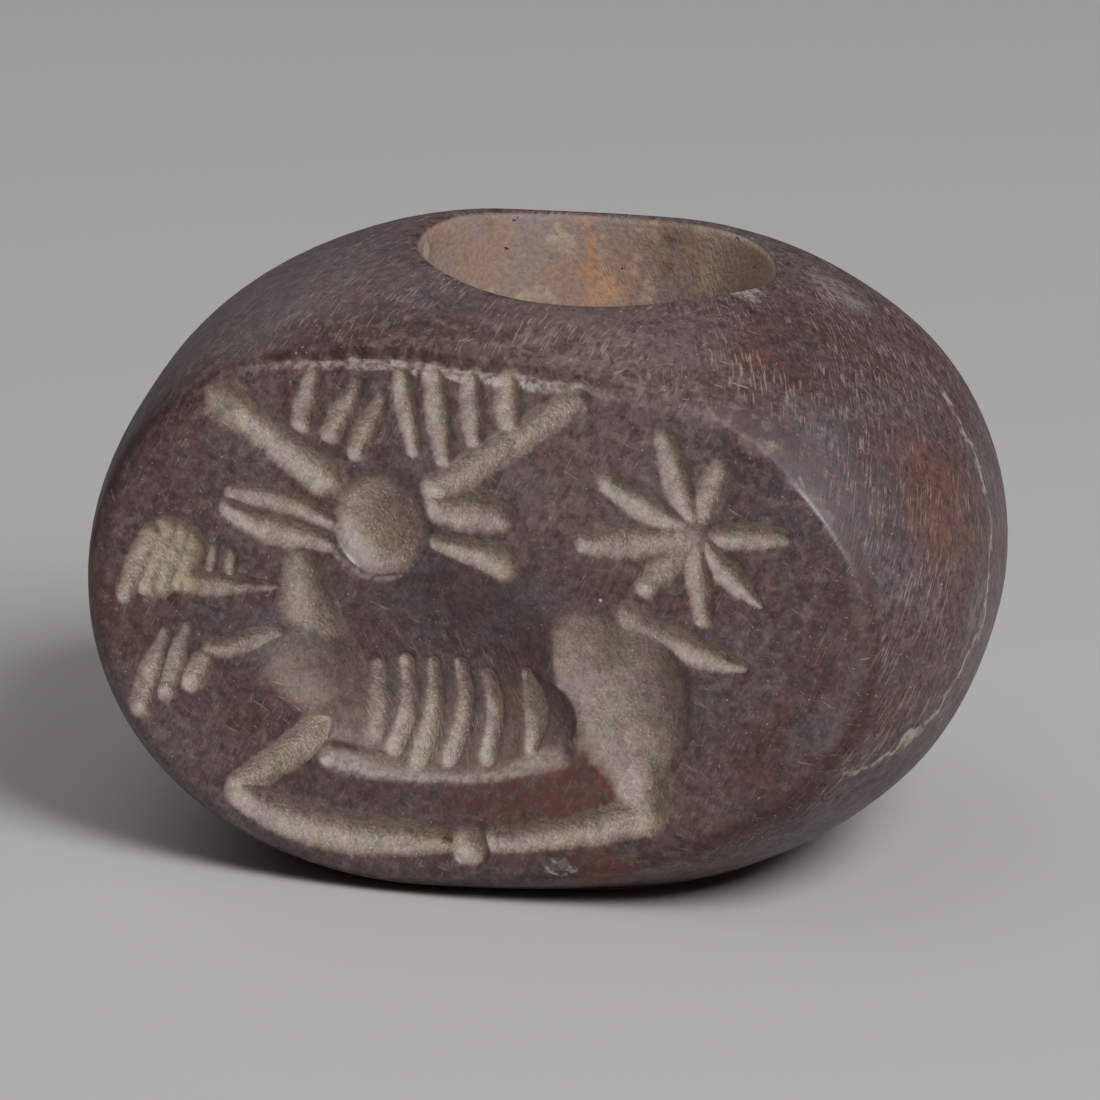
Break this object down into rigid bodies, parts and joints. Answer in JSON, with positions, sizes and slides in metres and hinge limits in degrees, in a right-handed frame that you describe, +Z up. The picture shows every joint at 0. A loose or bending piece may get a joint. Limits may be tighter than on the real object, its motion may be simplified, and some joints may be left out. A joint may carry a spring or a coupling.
{
  "type": "stamp seal",
  "caption": "Ring-shaped stone stamp seal: a thick rounded bead with a wide upright bore and a flat oval face carved in recess with a lying stag, sprays and a star.",
  "frame": {"origin": "on the ground under the middle of the seal's box, as it stands on its small worn flat", "axes": "+Z up along the bore, -Y out of the carved sealing face, X along the face's long way with the stag's head towards -X"},
  "size_m": [0.0204, 0.0146, 0.0137],
  "materials": {
    "stone": "polished dark red-brown stone with fine pale scratches; the carving and the bore are matt"
  },
  "bodies": {
    "root": {"seal": "stone"}
  },
  "joints": []
}
